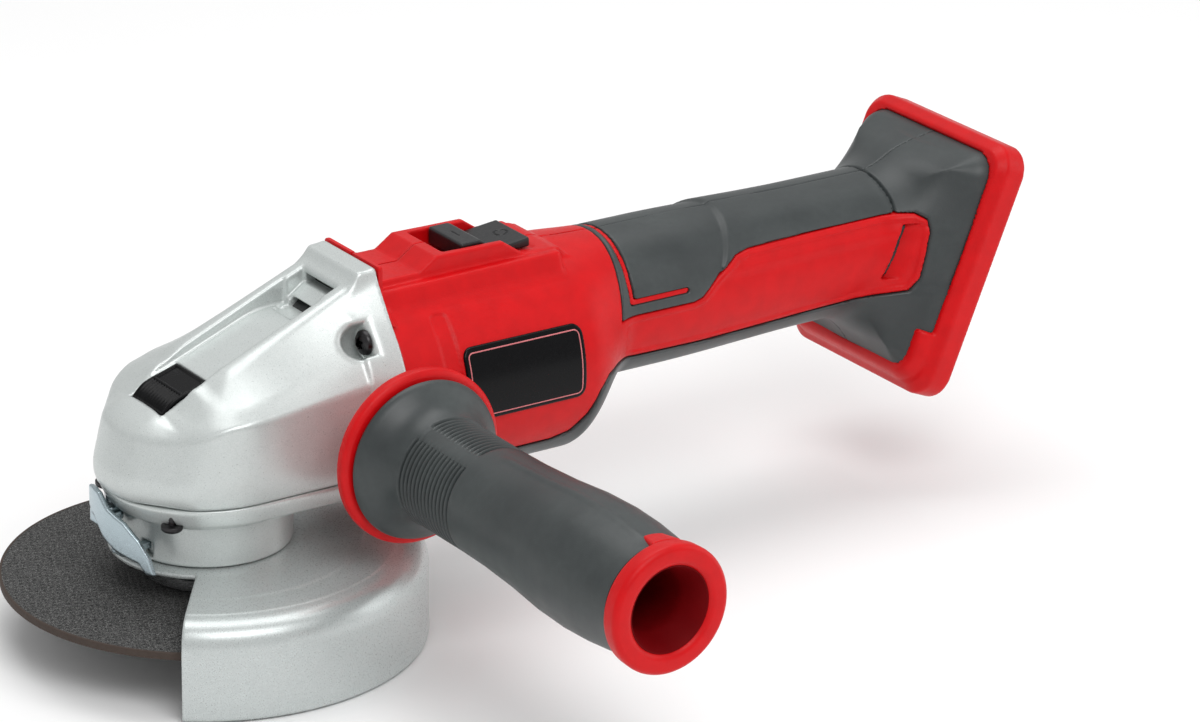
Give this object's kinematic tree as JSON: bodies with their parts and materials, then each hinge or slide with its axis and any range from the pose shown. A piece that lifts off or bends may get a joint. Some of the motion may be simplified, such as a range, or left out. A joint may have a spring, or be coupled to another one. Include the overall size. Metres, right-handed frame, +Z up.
{
  "type": "cordless angle grinder",
  "caption": "Cordless angle grinder for 125 mm discs with a half guard, quick-release lever, slide switch, spindle lock, soft grip and side handle, shown without its battery.",
  "frame": {"origin": "centre of the output spindle's lower end face", "axes": "+Z up along the output spindle, +X back along the motor axis towards the battery foot, -Y towards the side handle"},
  "size_m": [0.3449, 0.243, 0.1132],
  "materials": {
    "cast_housing": "fine metallic paint on a die casting",
    "sheet_metal": "silver paint on pressed sheet",
    "bright_steel": "machined",
    "dark_steel": "black oxide",
    "motor_iron": "laminated sheet",
    "copper": "enamelled wire and tinned blades",
    "red_plastic": "fine moulded texture",
    "soft_grip": "satin soft-touch",
    "black_plastic": "moulded",
    "seal_rubber": "matte",
    "circuit_board": "potted board",
    "abrasive": "woven glass over resin-bonded grit"
  },
  "bodies": {
    "body": {"gear_head": "cast_housing", "bearing_cover": "cast_housing", "spindle_bearing": "bright_steel", "spindle_bush": "bright_steel", "front_bearing": "bright_steel", "rear_bearing": "bright_steel", "lock_spring": "bright_steel", "lever_pin": "bright_steel", "head_screw_1": "dark_steel", "head_screw_2": "dark_steel", "head_screw_3": "dark_steel", "head_screw_4": "dark_steel", "cover_screw_1": "dark_steel", "cover_screw_2": "dark_steel", "cover_screw_3": "dark_steel", "cover_screw_4": "dark_steel", "housing_screw_1": "dark_steel", "housing_screw_2": "dark_steel", "housing_screw_3": "dark_steel", "housing_screw_4": "dark_steel", "housing_screw_5": "dark_steel", "stator_core": "motor_iron", "front_winding": "copper", "rear_winding": "copper", "battery_contact_1": "copper", "battery_contact_2": "copper", "battery_contact_3": "copper", "battery_contact_4": "copper", "housing_left": "red_plastic", "housing_right": "red_plastic", "foot_bumper": "red_plastic", "soft_grip_left": "soft_grip", "soft_grip_right": "soft_grip", "bearing_plate": "black_plastic", "battery_mount": "black_plastic", "power_switch": "black_plastic", "name_plate": "black_plastic", "spindle_seal": "seal_rubber", "motor_controller": "circuit_board"},
    "spindle": {"spindle": "bright_steel", "crown_gear": "bright_steel", "inner_flange": "bright_steel", "cutting_disc": "abrasive", "flange_nut": "dark_steel"},
    "rotor": {"rotor_shaft": "bright_steel", "rotor": "motor_iron", "fan": "black_plastic", "pinion": "bright_steel"},
    "guard": {"guard": "sheet_metal"},
    "guard_lever": {"guard_lever": "sheet_metal"},
    "switch": {"switch_slider": "soft_grip", "switch_rod": "black_plastic"},
    "lock_button": {"lock_button": "black_plastic", "lock_pin": "bright_steel"},
    "side_handle": {"handle_core": "red_plastic", "handle_grip": "soft_grip", "handle_stud": "bright_steel"}
  },
  "joints": [
    {"name": "spindle_spin", "type": "hinge", "parent": "body", "child": "spindle", "pos_m": [0, 0, 0.02], "axis": [0, 0, 1], "continuous": true},
    {"name": "rotor_spin", "type": "hinge", "parent": "body", "child": "rotor", "pos_m": [0.06, 0, 0.0586], "axis": [1, 0, 0], "continuous": true},
    {"name": "guard_turn", "type": "hinge", "parent": "body", "child": "guard", "pos_m": [0, 0, 0.02], "axis": [0, 0, 1], "range_deg": [-90, 90]},
    {"name": "lever_release", "type": "hinge", "parent": "body", "child": "guard_lever", "pos_m": [-0.02898, 0.00777, 0.032], "axis": [0, 0, -1], "range_deg": [0, 14], "stiffness_Nm_per_rad": 0.4, "springref_deg": -11.46},
    {"name": "switch_slide", "type": "slide", "parent": "body", "child": "switch", "axis": [-1, 0, 0], "range_m": [0, 0.006], "stiffness_N_per_m": 500, "springref_m": -0.002},
    {"name": "lock_press", "type": "slide", "parent": "body", "child": "lock_button", "axis": [0, 0, -1], "range_m": [0, 0.004], "stiffness_N_per_m": 900, "springref_m": -0.002, "deforming": ["lock_spring"]},
    {"name": "side_handle_release", "type": "slide", "parent": "body", "child": "side_handle", "axis": [0, -1, 0], "range_m": [0, 0.02]}
  ],
  "couplings": [
    {"joint": "rotor_spin", "follows": "spindle_spin", "ratio": 3.2727}
  ]
}
